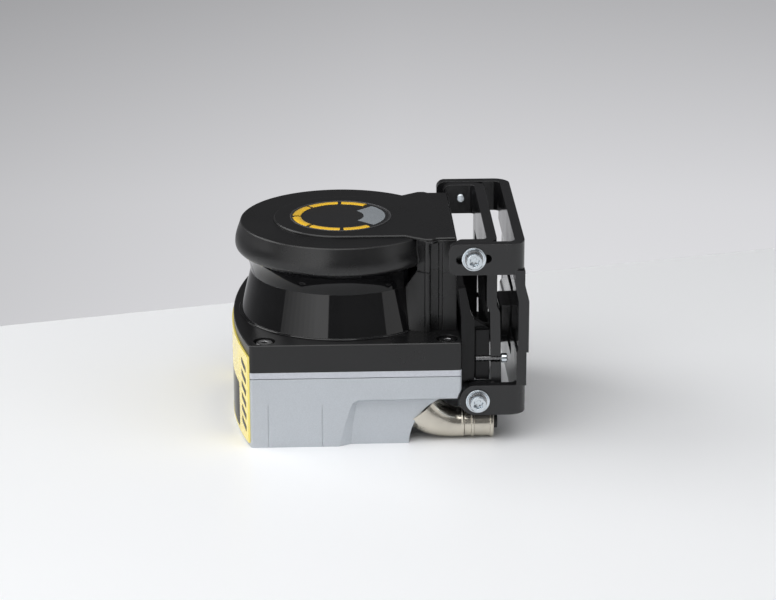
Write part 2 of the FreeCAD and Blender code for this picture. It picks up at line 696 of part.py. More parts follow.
def make_connector_insert():
    core = rod(4.2, (76.0, CON_Y, CON_Z), (93.6, CON_Y, CON_Z))
    flange = rod(5.5, (74.0, CON_Y, CON_Z), (77.5, CON_Y, CON_Z))
    key = box(86.0, 94.0, CON_Y - 0.7, CON_Y + 0.7, CON_Z + 3.4, CON_Z + 5.0)
    body = fused([core, flange]).cut(key)
    for y, z in contact_places():
        body = body.cut(rod(0.65, (75.0, CON_Y + y, CON_Z + z), (94.0, CON_Y + y, CON_Z + z)))
    return body


def make_contacts():
    pins = []
    for y, z in contact_places():
        pins.append(rod(0.65, (75.0, CON_Y + y, CON_Z + z), (92.4, CON_Y + y, CON_Z + z)))
    return Part.makeCompound(pins)


# ---- bracket --------------------------------------------------------------------------------------
def mount_screw_places():
    return [(-20.0, 33.0), (20.0, 33.0)]


def arm_blank(x0, x1, z0, z1, front_radius):
    """Side outline of an arm with rounded front corners, as a wide block along Y."""
    block = box(x0, x1, -80.0, 80.0, z0, z1)
    edges = [e for e in block.Edges
             if e.BoundBox.XLength < 1e-6 and e.BoundBox.ZLength < 1e-6 and e.BoundBox.XMin < x0 + 1e-3]
    return block.makeFillet(front_radius, edges)


def u_strap(x_open, x_plate, half, thickness, bend):
    """Tall U-shaped strap seen from above: two arms and a cross plate, with round bends."""
    outer = box(x_open, x_plate + thickness, -half, half, 0.0, 140.0)
    inner = box(x_open - 1.0, x_plate, -half + thickness, half - thickness, -1.0, 141.0)
    outer_edges = upright_edges(outer, lambda x, y: x > x_plate)
    inner_edges = upright_edges(inner, lambda x, y: x > x_plate - 0.01)
    return outer.makeFillet(bend, outer_edges).cut(inner.makeFillet(bend - thickness, inner_edges))


def arc_slot(radius, x, z, half_angle, width_half, y0, y1):
    """Slot that follows a circle about the tilt pivot through the point (x, z)."""
    middle = math.atan2(z - PIVOT_Z, x - PIVOT_X)
    pieces = []
    a0 = middle - math.radians(half_angle)
    a1 = middle + math.radians(half_angle)
    for a in (a0, a1):
        px = PIVOT_X + radius * math.cos(a)
        pz = PIVOT_Z + radius * math.sin(a)
        pieces.append(rod(width_half, (px, y0, pz), (px, y1, pz)))
    outer = rod(radius + width_half, (PIVOT_X, y0, PIVOT_Z), (PIVOT_X, y1, PIVOT_Z))
    inner = rod(radius - width_half, (PIVOT_X, y0 - 1.0, PIVOT_Z), (PIVOT_X, y1 + 1.0, PIVOT_Z))
    far = 2.0 * radius
    wedge = side_prism(((PIVOT_X, PIVOT_Z), (PIVOT_X + far * math.cos(a0), PIVOT_Z + far * math.sin(a0)),
                        (PIVOT_X + far * math.cos(a1), PIVOT_Z + far * math.sin(a1))), y0, y1)
    return fused([outer.cut(inner).common(wedge)] + pieces)


def make_wall_bracket():
    x0, x1 = WALL_PLATE_X
    p0, p1 = PAD_X
    f0 = x0 + WALL_FOOT_OUT
    f1 = x1 + WALL_FOOT_OUT
    upper = u_strap(60.0, x0, ARM_OUT, ARM_OUT - ARM_IN, BEND_R).common(arm_blank(62.8, 130.0, 108.1, 127.4, 5.0))
    lower = u_strap(60.0, f0, ARM_OUT, ARM_OUT - ARM_IN, BEND_R).common(arm_blank(70.0, 130.0, 18.6, 37.5, 9.4))
    plate = side_prism(((f0, 18.6), (f0, PAD_Z[0]), (p0, PAD_Z[0] + 2.0), (p0, PAD_Z[1]), (x0, PAD_SLOPE_TOP),
                        (x0, 127.4), (x1, 127.4), (x1, PAD_SLOPE_TOP), (p1, PAD_Z[1]), (p1, PAD_Z[0]),
                        (f1, PAD_Z[0]), (f1, 18.6)), -ARM_OUT + BEND_R, ARM_OUT - BEND_R)
    edge = side_prism(((f0, 37.0), (f0, PAD_Z[0]), (p0, PAD_Z[0] + 2.0), (p0, PAD_Z[1]), (x0, PAD_SLOPE_TOP),
                       (x0, 110.0), (x1, 110.0), (x1, PAD_SLOPE_TOP), (p1, PAD_Z[1]), (p1, PAD_Z[0]),
                       (f1, PAD_Z[0]), (f1, 37.0)), ARM_OUT - BEND_R, ARM_OUT - 1.0)
    body = fused([upper, lower, plate] + both_sides(edge))
    reach = math.hypot(CLAMP_X - PIVOT_X, CLAMP_Z - PIVOT_Z)
    slot_half = TILT_LIMIT + 0.05
    cutters = []
    for y0, y1 in ((-75.0, -60.0), (60.0, 75.0)):
        cutters.append(arc_slot(reach, CLAMP_X, CLAMP_Z, slot_half, SHOULDER_R + RUN_CLEAR, y0, y1))
        cutters.append(rod(SHOULDER_R + RUN_CLEAR, (PIVOT_X, y0, PIVOT_Z), (PIVOT_X, y1, PIVOT_Z)))
    for y in (-WALL_HOLE_Y, WALL_HOLE_Y):
        for z in WALL_HOLE_Z:
            cutters.append(rod(WALL_HOLE_R, (x0 - 1.0, y, z), (p1 + 1.0, y, z)))
    for z in WALL_SLOT_Z:
        cutters.append(wall_slot(z))
    return without(body, cutters)


def wall_slot(z):
    """Level slot with round ends through the middle of the wall bracket."""
    r = WALL_SLOT_R
    x0 = WALL_PLATE_X[0] - 2.0
    x1 = PAD_X[1] + 2.0
    ends = [rod(r, (x0, y, z), (x1, y, z)) for y in (-WALL_SLOT_Y, WALL_SLOT_Y)]
    return fused([box(x0, x1, -WALL_SLOT_Y, WALL_SLOT_Y, z - r, z + r)] + ends)


def make_stop_block():
    """Stop on the inner face of the wall bracket, whose plate steps outwards behind it."""
    block = box(97.9, PAD_X[0], -14.0, 14.0, 50.0, 70.0)
    edges = [e for e in block.Edges if e.BoundBox.XMax < 98.0 and e.BoundBox.XLength < 1e-6]
    foot = WALL_PLATE_X[0] + WALL_FOOT_OUT
    step = side_prism(((foot, 49.0), (foot, PAD_Z[0]), (PAD_X[0], PAD_Z[0] + 2.0), (PAD_X[0] + 1.0, PAD_Z[0] + 2.0),
                       (PAD_X[0] + 1.0, 49.0)), -15.0, 15.0)
    return block.makeFillet(1.5, edges).cut(step)


def make_device_bracket():
    x0, x1 = DEVICE_PLATE_X
    strap = u_strap(60.0, x0, DEVICE_ARM_OUT, x1 - x0, 9.0)
    upper = strap.common(arm_blank(66.5, 130.0, 108.1, 127.0, 5.0))
    shift = 3.0
    leg = side_prism(((x0, 115.0), (x1, 115.0), (x1, 86.2), (x1 + shift - 1.0, 81.8), (x1 + shift, 40.0),
                      (x1 + shift, 20.2), (x0 + shift, 20.2), (x0 + shift, 40.0), (x0 + shift - 1.0, 81.8),
                      (x0, 86.2)), 48.0, DEVICE_ARM_OUT - 1.0)
    arm = box(70.6, x0 + shift + 2.0, DEVICE_ARM_IN, DEVICE_ARM_OUT, 20.2, 37.2)
    front = [e for e in arm.Edges
             if e.BoundBox.XLength < 1e-6 and e.BoundBox.ZLength < 1e-6 and e.BoundBox.XMin < 70.7]
    arm = arm.makeFillet(8.4, front)
    footer = box(x0 + shift, x1 + shift, -50.0, 50.0, 24.0, 37.2)
    header = box(x0, x1, -52.0, 52.0, 100.0, 127.0)
    body = fused([upper, header, footer] + both_sides(leg) + both_sides(arm))
    cutters = []
    for y0, y1 in ((-75.0, -50.0), (50.0, 75.0)):
        cutters.append(rod(THREAD_R, (CLAMP_X, y0, CLAMP_Z), (CLAMP_X, y1, CLAMP_Z)))
        cutters.append(rod(THREAD_R, (PIVOT_X, y0, PIVOT_Z), (PIVOT_X, y1, PIVOT_Z)))
    for y, z in link_screw_places():
        cutters.append(link_channel(y, z, 80.0, 100.0))
    return without(body, cutters)


def link_screw_places():
    return [(-LINK_Y, LINK_Z), (LINK_Y, LINK_Z)]


def link_channel(y, z, x0, x1):
    """Hole for a link screw, open towards the side of the bracket."""
    outside = math.copysign(66.0, y)
    low, high = sorted((y, outside))
    return rod(LINK_R, (x0, y, z), (x1, y, z)).fuse(box(x0, x1, low, high, z - LINK_R, z + LINK_R))


def make_mount_plate():
    """Plate behind the scanner, with cheeks that reach back to the device bracket."""
    x0, x1 = MOUNT_PLATE_X
    plate = box(x0, x1, -62.0, 62.0, 40.0, 78.0)
    tongue = box(x0, x1, -38.0, 38.0, 22.0, 42.0)
    cheek = side_prism(((x0, 38.5), (x0, 79.0), (69.2, 97.5), (73.4, 98.0), (77.0, 81.0), (79.0, 77.0),
                        (79.0, 38.5)), 56.0, 62.0)
    flange = box(78.0, 88.2, 48.0, 60.0, 38.5, 70.0)
    web = side_prism(((78.0, 70.0), (78.0, 76.5), (88.2, 70.0)), 50.0, 56.0)
    body = fused([plate, tongue] + both_sides(cheek) + both_sides(flange) + both_sides(web))
    groove = box(79.0, 80.0, 57.5, 61.0, 38.0, 70.5)
    cutters = both_sides(groove)
    for y, z in link_screw_places():
        cutters.append(link_channel(y, z, 79.0, 95.0))
    for y, z in mount_screw_places():
        cutters.append(rod(THREAD_R + 0.15, (x0 - 1.0, y, z), (x1 + 1.0, y, z)))
    return without(body, cutters)


def make_link_screws():
    screws = []
    for y, z in link_screw_places():
        screws.append(rod(LINK_R, (80.0, y, z), (99.6, y, z)))
    return Part.makeCompound(screws)


def make_link_nuts():
    nuts = []
    for y, z in link_screw_places():
        nuts.append(rod(2.9, (95.5, y, z), (98.9, y, z)).cut(rod(LINK_R, (90.0, y, z), (99.5, y, z))))
    return Part.makeCompound(nuts)


def make_mount_screws():
    screws = []
    for y, z in mount_screw_places():
        x1 = MOUNT_PLATE_X[1]
        shank = rod(THREAD_R, (62.0, y, z), (x1, y, z))
        head = rod(4.4, (x1, y, z), (x1 + 4.0, y, z)).cut(rod(2.0, (x1 + 1.8, y, z), (x1 + 5.0, y, z)))
        screws.append(shank.fuse(head))
    return Part.makeCompound(screws)


WASHER_T = 1.3
LOCK_WASHER_T = 1.2
SCREW_HEAD_H = 4.4


def side_washer(x, z, side, radius, start, thickness):
    a = side * start
    b = side * (start + thickness)
    return rod(radius, (x, a, z), (x, b, z)).cut(rod(SHOULDER_R, (x, a - side, z), (x, b + side, z)))


def side_screw(x, z, side):
    seat = ARM_OUT + WASHER_T + LOCK_WASHER_T
    head = rod(5.2, (x, side * seat, z), (x, side * (seat + SCREW_HEAD_H), z))
    socket = rod(2.6, (x, side * (seat + SCREW_HEAD_H - 2.4), z), (x, side * (seat + SCREW_HEAD_H + 1.0), z))
    shoulder = rod(SHOULDER_R, (x, side * DEVICE_ARM_OUT, z), (x, side * seat, z))
    thread = rod(THREAD_R, (x, side * 54.5, z), (x, side * DEVICE_ARM_OUT, z))
    return fused([head, shoulder, thread]).cut(socket)


# ---- assembly ---------------------------------------------------------------------------------------
def build():
    trimmer = pillar_space()
    parts["base_housing"] = make_base()
    parts["bottom_cover"] = make_bottom_cover()
    parts["bottom_cover_screws"] = make_cover_screws()
    parts["base_lid"] = make_lid()
    parts["head_seal"] = seal_loop(BASE_TOP + 3.2, LID_TOP)
    parts["front_label"] = make_front_label()
    parts["front_marks"] = make_front_marks()
    parts["display_window"] = make_display_window()
    parts["display_board"] = make_display_board()
    parts["status_leds"] = make_status_leds()
    parts["base_board"] = make_base_board()
    parts["base_board_parts"] = make_board_parts()
    parts["link_connector"] = make_link_connector()

    parts["scanner_housing"] = make_scanner_housing()
    parts["window_seal"] = make_window_seal()
    parts["rear_pillar"] = make_pillar()
    parts["optics_cover"] = make_optics_cover(trimmer)
    parts["hood_ring"] = make_hood_ring(trimmer)
    parts["cap"] = make_cap()
    parts["cap_top_plate"] = make_top_plate()
    parts["range_disc"] = make_range_disc()
    parts["range_segments"] = make_range_segments()
    parts["range_sector"] = make_range_sector()
    parts["range_circle"] = make_range_circle()
    for index, (x, y) in enumerate(lock_places()):
        parts["lock_screw_%d" % (index + 1)] = make_lock_screw(x, y)

    parts["motor_carrier"] = make_motor_carrier()
    parts["carrier_screws"] = make_carrier_screws()
    parts["upper_bearing_plate"] = make_upper_bearing_plate()
    parts["shaft_bearings"] = make_bearings()
    parts["motor_stator"] = make_stator()
    parts["motor_coils"] = make_coils()
    parts["rotor_shaft"] = make_shaft()
    parts["rotor_magnet"] = make_rotor_magnet()
    parts["encoder_disc"] = make_encoder_disc()
    parts["mirror_carrier"] = make_mirror_carrier()
    parts["scan_mirror"] = make_mirror()
    parts["encoder_sensor"] = make_encoder_sensor()
    parts["lens_holder"] = make_lens_holder()
    parts["receiver_lens"] = make_receiver_lens()
    parts["laser_module"] = make_laser_module()
    parts["optics_board"] = make_optics_board()
    parts["optics_board_posts"] = make_board_posts()

    parts["connector_elbow"] = make_elbow()
    parts["coupling_nut"] = make_coupling_nut()
    parts["connector_insert"] = make_connector_insert()
    parts["connector_contacts"] = make_contacts()

    parts["mount_plate"] = make_mount_plate()
    parts["mount_screws"] = make_mount_screws()
    parts["device_bracket"] = make_device_bracket()
    parts["link_screws"] = make_link_screws()
    parts["link_nuts"] = make_link_nuts()
    parts["wall_bracket"] = make_wall_bracket()
    parts["stop_block"] = make_stop_block()
    screws = []
    washers = []
    lock_washers = []
    for x, z in ((CLAMP_X, CLAMP_Z), (PIVOT_X, PIVOT_Z)):
        for side in (-1.0, 1.0):
            screws.append(side_screw(x, z, side))
            washers.append(side_washer(x, z, side, 7.5, ARM_OUT, WASHER_T))
            lock_washers.append(side_washer(x, z, side, 4.6, ARM_OUT + WASHER_T, LOCK_WASHER_T))
    parts["side_screws"] = Part.makeCompound(screws)
    parts["side_washers"] = Part.makeCompound(washers)
    parts["side_lock_washers"] = Part.makeCompound(lock_washers)


def export():
    os.makedirs("parts", exist_ok=True)
    for name, shape in parts.items():
        if not shape.isValid() or shape.Volume <= 0.0:
            raise ValueError("bad shape: " + name)
        shape.exportStep("parts/%s.step" % name)
        print("%-22s solids %2d  volume %9.1f" % (name, len(shape.Solids), shape.Volume))


build()
export()
print("nodes:", len(parts))
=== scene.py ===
import json
import math

import bmesh
import bpy
from mathutils import Matrix, Vector


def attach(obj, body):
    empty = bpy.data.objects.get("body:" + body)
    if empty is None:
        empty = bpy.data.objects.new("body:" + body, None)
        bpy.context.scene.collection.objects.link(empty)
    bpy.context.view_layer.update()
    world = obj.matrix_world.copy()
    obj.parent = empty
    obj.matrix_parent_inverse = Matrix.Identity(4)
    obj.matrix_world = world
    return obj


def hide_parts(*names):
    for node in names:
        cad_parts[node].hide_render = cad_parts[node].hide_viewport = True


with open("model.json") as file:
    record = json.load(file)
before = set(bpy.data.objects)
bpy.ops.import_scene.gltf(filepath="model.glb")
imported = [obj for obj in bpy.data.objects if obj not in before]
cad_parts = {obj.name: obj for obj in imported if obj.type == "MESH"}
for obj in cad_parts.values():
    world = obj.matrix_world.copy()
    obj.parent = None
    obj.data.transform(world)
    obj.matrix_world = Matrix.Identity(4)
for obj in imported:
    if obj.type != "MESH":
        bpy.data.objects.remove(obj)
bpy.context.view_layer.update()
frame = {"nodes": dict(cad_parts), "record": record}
nodes = frame["nodes"]

MM = 0.001


# ---- node graph helpers -----------------------------------------------------------------------
def map_range(tree, source, low, high, out_low=0.0, out_high=1.0):
    """Node that maps one range of values to another; returns its output."""
    node = tree.nodes.new("ShaderNodeMapRange")
    node.inputs["From Min"].default_value = low
    node.inputs["From Max"].default_value = high
    node.inputs["To Min"].default_value = out_low
    node.inputs["To Max"].default_value = out_high
    tree.links.new(source, node.inputs["Value"])
    return node.outputs["Result"]


class Graph:
    """Small helper round one material's node tree."""

    def __init__(self, name):
        self.material = bpy.data.materials.new(name)
        self.material.use_nodes = True
        self.tree = self.material.node_tree
        self.shader = self.tree.nodes["Principled BSDF"]
        self.coords = self.add("ShaderNodeTexCoord").outputs["Object"]

    def add(self, kind, **settings):
        node = self.tree.nodes.new(kind)
        for key, value in settings.items():
            setattr(node, key, value)
        return node

    def link(self, source, target):
        self.tree.links.new(source, target)

    def noise(self, scale, detail=3.0, roughness=0.55, stretch=None):
        node = self.add("ShaderNodeTexNoise")
        node.inputs["Scale"].default_value = scale
        node.inputs["Detail"].default_value = detail
        node.inputs["Roughness"].default_value = roughness
        source = self.coords
        if stretch is not None:
            mapping = self.add("ShaderNodeMapping")
            mapping.inputs["Scale"].default_value = stretch
            self.link(self.coords, mapping.inputs["Vector"])
            source = mapping.outputs["Vector"]
        self.link(source, node.inputs["Vector"])
        return node.outputs["Fac"]

    def ramp(self, source, low, high, out_low=0.0, out_high=1.0):
        return map_range(self.tree, source, low, high, out_low, out_high)

    def multiply(self, a, b):
        node = self.add("ShaderNodeMath", operation="MULTIPLY")
        self.link(a, node.inputs[0])
        self.link(b, node.inputs[1])
        return node.outputs["Value"]

    def mix(self, factor, a, b):
        node = self.add("ShaderNodeMix", data_type="RGBA")
        self.link(factor, node.inputs["Factor"])
        for value, socket in ((a, node.inputs["A"]), (b, node.inputs["B"])):
            if isinstance(value, tuple):
                socket.default_value = (*value, 1.0)
            else:
                self.link(value, socket)
        return node.outputs["Result"]

    def edge_mask(self, radius, gain):
        """A mask that is 0 on flat faces and up to 1 along sharp edges, and the rounded normal."""
        bevel = self.add("ShaderNodeBevel", samples=4)
        bevel.inputs["Radius"].default_value = radius
        geometry = self.add("ShaderNodeNewGeometry")
        dot = self.add("ShaderNodeVectorMath", operation="DOT_PRODUCT")
        self.link(bevel.outputs["Normal"], dot.inputs[0])
        self.link(geometry.outputs["Normal"], dot.inputs[1])
        return self.ramp(dot.outputs["Value"], 1.0, 1.0 - 1.0 / gain), bevel.outputs["Normal"]

    def facing(self, low, high, out_low, out_high):
        """A value that changes where a face is seen edge-on."""
        weight = self.add("ShaderNodeLayerWeight")
        weight.inputs["Blend"].default_value = 0.5
        return self.ramp(weight.outputs["Facing"], low, high, out_low, out_high)

    def bump(self, height, distance, normal=None):
        node = self.add("ShaderNodeBump")
        node.inputs["Strength"].default_value = 1.0
        node.inputs["Distance"].default_value = distance
        self.link(height, node.inputs["Height"])
        if normal is not None:
            self.link(normal, node.inputs["Normal"])
        return node.outputs["Normal"]

    def set(self, **values):
        """Sets or links the shader's inputs; a space in an input's name is written as an underscore."""
        for key, value in values.items():
            socket = self.shader.inputs[key.replace("_", " ")]
            if isinstance(value, bpy.types.NodeSocket):
                self.link(value, socket)
            else:
                socket.default_value = value


def surface(name, colour, rough, metal=0.0, grain=2500.0, grain_depth=0.00002, vary=0.12, edge=0.0004,
            wear_and_highlight=0.15, rough_vary=0.06, coat=0.0, specular=0.5, blotch=25.0, sheen_rough=None):
    """General finish: colour variation, grain bump, roughness variation, rounded edges lightened partly as
    wear and partly as a painted highlight.
    """
    g = Graph(name)
    darker = tuple(c * (1.0 - vary) for c in colour)
    lighter = tuple(min(1.0, c * (1.0 + vary)) for c in colour)
    cloud = g.noise(blotch, 4.0)
    base = g.mix(g.ramp(cloud, 0.35, 0.65), darker, lighter)
    fine = g.noise(grain, 2.0)
    base = g.mix(g.ramp(fine, 0.3, 0.7, 0.0, 0.35), base, darker)
    # Edges are lightened towards a paler copy of the colour: partly wear, partly a painted highlight along
    # rims and corners.
    mask, rounded = g.edge_mask(edge, 3.0)
    worn_and_highlit = tuple(min(1.0, c * 1.8 + 0.05) for c in colour)
    base = g.mix(g.ramp(mask, 0.1, 1.0, 0.0, wear_and_highlight), base, worn_and_highlit)
    g.set(Base_Color=base, Metallic=metal, Specular_IOR_Level=specular)
    g.set(Coat_Weight=coat, Coat_Roughness=0.12)
    roughness = g.ramp(cloud, 0.3, 0.7, rough - rough_vary, rough + rough_vary)
    if sheen_rough is not None:
        roughness = g.multiply(roughness, g.facing(0.86, 0.97, 1.0, sheen_rough))
    g.set(Roughness=roughness, Normal=g.bump(fine, grain_depth, rounded))
    return g.material


def silver_paint(name, colour):
    """Metallic paint: tiny flakes over an even silver base."""
    g = Graph(name)
    flakes = g.add("ShaderNodeTexVoronoi")
    flakes.inputs["Scale"].default_value = 3200.0
    g.link(g.coords, flakes.inputs["Vector"])
    tone = g.ramp(flakes.outputs["Color"], 0.0, 1.0)
    darker = tuple(c * 0.91 for c in colour)
    lighter = tuple(min(1.0, c * 1.09) for c in colour)
    base = g.mix(tone, darker, lighter)
    cloud = g.noise(30.0, 4.0)
    base = g.mix(g.ramp(cloud, 0.35, 0.65, 0.0, 0.25), base, darker)
    # Lightens the edges towards pale silver: a painted highlight along them.
    mask, rounded = g.edge_mask(0.0005, 3.0)
    base = g.mix(g.ramp(mask, 0.1, 1.0, 0.0, 0.35), base, (0.85, 0.87, 0.89))
    g.set(Base_Color=base, Metallic=0.3, Roughness=g.ramp(cloud, 0.3, 0.7, 0.40, 0.50))
    g.set(Normal=g.bump(g.noise(1800.0, 2.0), 0.00002, rounded), Coat_Weight=0.15, Coat_Roughness=0.3)
    return g.material


def glossy_dark(name, colour, rough=0.03, specular=0.5, edge_index=1.5):
    """Polished dark plastic with faint haze and dust; edge_index tames the shine seen edge-on."""
    g = Graph(name)
    haze = g.noise(60.0, 5.0)
    base = g.mix(g.ramp(haze, 0.35, 0.7), colour, tuple(c * 1.2 for c in colour))
    dust = g.noise(1500.0, 2.0)
    # Lightens the edges towards grey: a painted highlight, such as the thin bright line along the window's
    # lower lip.
    mask, rounded = g.edge_mask(0.0003, 3.0)
    base = g.mix(g.ramp(mask, 0.1, 1.0, 0.0, 0.45), base, (0.14, 0.14, 0.145))
    g.set(Base_Color=base, Specular_IOR_Level=specular)
    g.set(Roughness=g.ramp(haze, 0.3, 0.7, rough, rough + 0.03))
    g.set(Normal=g.bump(dust, 0.0000012, rounded), IOR=g.facing(0.6, 0.85, 1.5, edge_index))
    return g.material


def brushed(name, colour, rough, stretch, grain=900.0, depth=0.000012):
    """Metal with fine lines across one direction."""
    g = Graph(name)
    lines = g.noise(grain, 3.0, 0.6, stretch)
    cloud = g.noise(80.0, 3.0)
    base = g.mix(g.ramp(cloud, 0.3, 0.7), tuple(c * 0.88 for c in colour), colour)
    # Lightens the edges: a painted highlight along them.
    mask, rounded = g.edge_mask(0.0003, 3.0)
    base = g.mix(g.ramp(mask, 0.1, 1.0, 0.0, 0.3), base, tuple(min(1.0, c * 1.15) for c in colour))
    g.set(Base_Color=base, Metallic=1.0, Normal=g.bump(lines, depth, rounded))
    g.set(Roughness=g.ramp(lines, 0.3, 0.7, rough - 0.05, rough + 0.08))
    return g.material


def clear(name, colour):
    """Clear glass or plastic with a faint haze."""
    g = Graph(name)
    haze = g.noise(90.0, 3.0)
    g.set(Base_Color=g.mix(g.ramp(haze, 0.3, 0.7), colour, tuple(c * 0.9 for c in colour)))
    g.set(Transmission_Weight=1.0, Roughness=g.ramp(haze, 0.3, 0.7, 0.02, 0.05))
    g.set(Normal=g.bump(haze, 0.000002))
    return g.material


finishes = {
    "silver_paint": silver_paint("silver_paint", (0.51, 0.54, 0.575)),
    "silver_lid": silver_paint("silver_lid", (0.565, 0.585, 0.635)),
    "black_shell": surface("black_shell", (0.0085, 0.0085, 0.009), 0.30, grain=2600.0, grain_depth=0.00001,
                           edge=0.0006, wear_and_highlight=0.35, specular=0.45),
    # Strong edge lightening on the cap: a painted highlight along its rim, partly also wear.
    "black_cap": surface("black_cap", (0.0085, 0.0085, 0.009), 0.30, grain=3000.0, grain_depth=0.000008,
                         edge=0.0009, wear_and_highlight=0.75),
    "dark_window": glossy_dark("dark_window", (0.005, 0.005, 0.0055)),
    "hood_black": glossy_dark("hood_black", (0.004, 0.004, 0.0045), 0.05, specular=0.28),
    "label_yellow": surface("label_yellow", (0.97, 0.80, 0.20), 0.24, vary=0.04, grain=1800.0,
                            grain_depth=0.000004, wear_and_highlight=0.1, coat=0.4),
    "mark_yellow": surface("mark_yellow", (0.86, 0.52, 0.035), 0.16, vary=0.05, grain=1800.0,
                           grain_depth=0.000004, wear_and_highlight=0.1, coat=0.6),
    "mark_black": surface("mark_black", (0.016, 0.016, 0.017), 0.35, grain_depth=0.000004),
    "mark_grey": surface("mark_grey", (0.23, 0.25, 0.27), 0.35, vary=0.05, grain_depth=0.000004),
    "display_glass": glossy_dark("display_glass", (0.006, 0.006, 0.008), edge_index=1.06),
    "board_green": surface("board_green", (0.02, 0.13, 0.05), 0.3, vary=0.2, blotch=180.0, coat=0.3),
    "chip_black": surface("chip_black", (0.018, 0.018, 0.019), 0.5),
    "lamp_clear": clear("lamp_clear", (0.65, 0.85, 0.65)),
    "seal_rubber": surface("seal_rubber", (0.02, 0.02, 0.02), 0.75, grain=1200.0, grain_depth=0.00004),
    "nickel": brushed("nickel", (0.66, 0.62, 0.54), 0.20, (0.15, 1.0, 1.0), grain=500.0, depth=0.000002),
    "contact_gold": brushed("contact_gold", (0.80, 0.58, 0.22), 0.25, (0.2, 1.0, 1.0)),
    "bracket_black": surface("bracket_black", (0.011, 0.011, 0.0118), 0.24, grain=1500.0,
                             grain_depth=0.00001, edge=0.0008, wear_and_highlight=0.2, specular=0.52, sheen_rough=0.4),
    # A darker, less shiny copy of bracket_black: painted shade on the mount plate, which sits in shade
    # between the housing and the bracket.
    "plate_black": surface("plate_black", (0.007, 0.007, 0.0075), 0.22, grain=1500.0, grain_depth=0.00001,
                           edge=0.0008, wear_and_highlight=0.3, specular=0.22),
    "zinc": brushed("zinc", (0.66, 0.71, 0.75), 0.13, (1.0, 0.3, 1.0), depth=0.000006),
    "steel": brushed("steel", (0.30, 0.30, 0.305), 0.24, (1.0, 1.0, 0.2)),
    "die_cast": surface("die_cast", (0.48, 0.48, 0.49), 0.45, metal=0.9, grain=900.0),
    "magnet_grey": surface("magnet_grey", (0.10, 0.10, 0.105), 0.5, metal=0.5),
    "copper_wire": brushed("copper_wire", (0.62, 0.26, 0.12), 0.3, (0.1, 1.0, 1.0), grain=2500.0),
    "mirror_face": brushed("mirror_face", (0.92, 0.92, 0.93), 0.05, (1.0, 1.0, 1.0),
                           depth=0.0000005),
    "lens_glass": clear("lens_glass", (0.85, 0.92, 0.98)),
}


def paint_cad_nodes():
    """Gives every CAD node the finish that its material slot in the record names."""
    slots = {row["node"]: row["material_slot"] for row in frame["record"]["subparts"]}
    for name, node in nodes.items():
        node.data.materials.clear()
        node.data.materials.append(finishes[slots[name]])


# ---- mesh helpers ---------------------------------------------------------------------------------
def add_piece(name, mesh_data, body, slot, replaced):
    """Turns a bmesh, in millimetres in the row frame, into a visible piece on one body."""
    bmesh.ops.remove_doubles(mesh_data, verts=mesh_data.verts, dist=1e-4)
    bmesh.ops.recalc_face_normals(mesh_data, faces=mesh_data.faces)
    bmesh.ops.scale(mesh_data, vec=(MM, MM, MM), verts=mesh_data.verts)
    mesh = bpy.data.meshes.new(name)
    mesh_data.to_mesh(mesh)
    mesh_data.free()
    for polygon in mesh.polygons:
        polygon.use_smooth = True
    mesh.set_sharp_from_angle(angle=math.radians(33.0))
    mesh.materials.append(finishes[slot])
    piece = bpy.data.objects.new(name, mesh)
    bpy.context.scene.collection.objects.link(piece)
    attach(piece, body)
    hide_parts(*replaced)


def rounded(points, steps=5):
    """Open profile of (r, z, fillet) points with each corner replaced by an arc."""
    result = []
    for index, (r, z, fillet) in enumerate(points):
        here = Vector((r, z))
        if fillet <= 0.0 or index in (0, len(points) - 1):
            result.append((r, z))
            continue
        before = Vector(points[index - 1][:2]) - here
        after = Vector(points[index + 1][:2]) - here
        a = before.normalized()
        b = after.normalized()
        half = math.acos(max(-1.0, min(1.0, a.dot(b)))) / 2.0
        if half > math.radians(88.0):
            result.append((r, z))
            continue
        reach = min(fillet / math.tan(half), 0.49 * before.length, 0.49 * after.length)
        radius = reach * math.tan(half)
        centre = here + (a + b).normalized() * (radius / math.sin(half))
        start = here + a * reach - centre
        end = here + b * reach - centre
        sweep = start.angle_signed(end)
        for step in range(steps + 1):
            turn = Matrix.Rotation(-sweep * step / steps, 2)
            result.append(tuple(centre + turn @ start))
    return result


def ring_points(steps, radius_at):
    """Plan points of one ring; radius_at gives the radius at each angle."""
    turns = [2.0 * math.pi * index / steps for index in range(steps)]
    return [(radius_at(a) * math.cos(a), radius_at(a) * math.sin(a)) for a in turns]


def stack_rings(bm, rings):
    """Closed skin through rings of equal point counts; a ring of one point is a tip."""
    rows = [[bm.verts.new(point) for point in ring] for ring in rings]
    for lower, upper in zip(rows, rows[1:]):
        count = max(len(lower), len(upper))
        for index in range(count):
            after = (index + 1) % count
            corners = []
            for vertex in (lower[index % len(lower)], lower[after % len(lower)],
                           upper[after % len(upper)], upper[index % len(upper)]):
                if vertex not in corners:
                    corners.append(vertex)
            bm.faces.new(corners)


def sweep(bm, rows):
    """Solid through rows of vertices, one row for each section, with both ends closed."""
    for a, b in zip(rows, rows[1:]):
        for index in range(len(a)):
            after = (index + 1) % len(a)
            bm.faces.new((a[index], a[after], b[after], b[index]))
    bm.faces.new(rows[0])
    bm.faces.new(list(reversed(rows[-1])))


def level_ring(r, z, steps):
    """A round ring of points at height z, or its tip where r is 0."""
    if r < 1e-6:
        return [(0.0, 0.0, z)]
    return [(x, y, z) for x, y in ring_points(steps, lambda angle: r)]


def lathe(bm, profile, steps=128, place=None, closed=False):
    """Turns an (r, z) profile about Z, then moves it by the matrix place."""
    start = len(bm.verts)
    rings = [level_ring(r, z, steps) for r, z in profile]
    if closed:
        rings.append(rings[0])
    stack_rings(bm, rings)
    bm.verts.ensure_lookup_table()
    if place is not None:
        bmesh.ops.transform(bm, matrix=place, verts=bm.verts[start:])


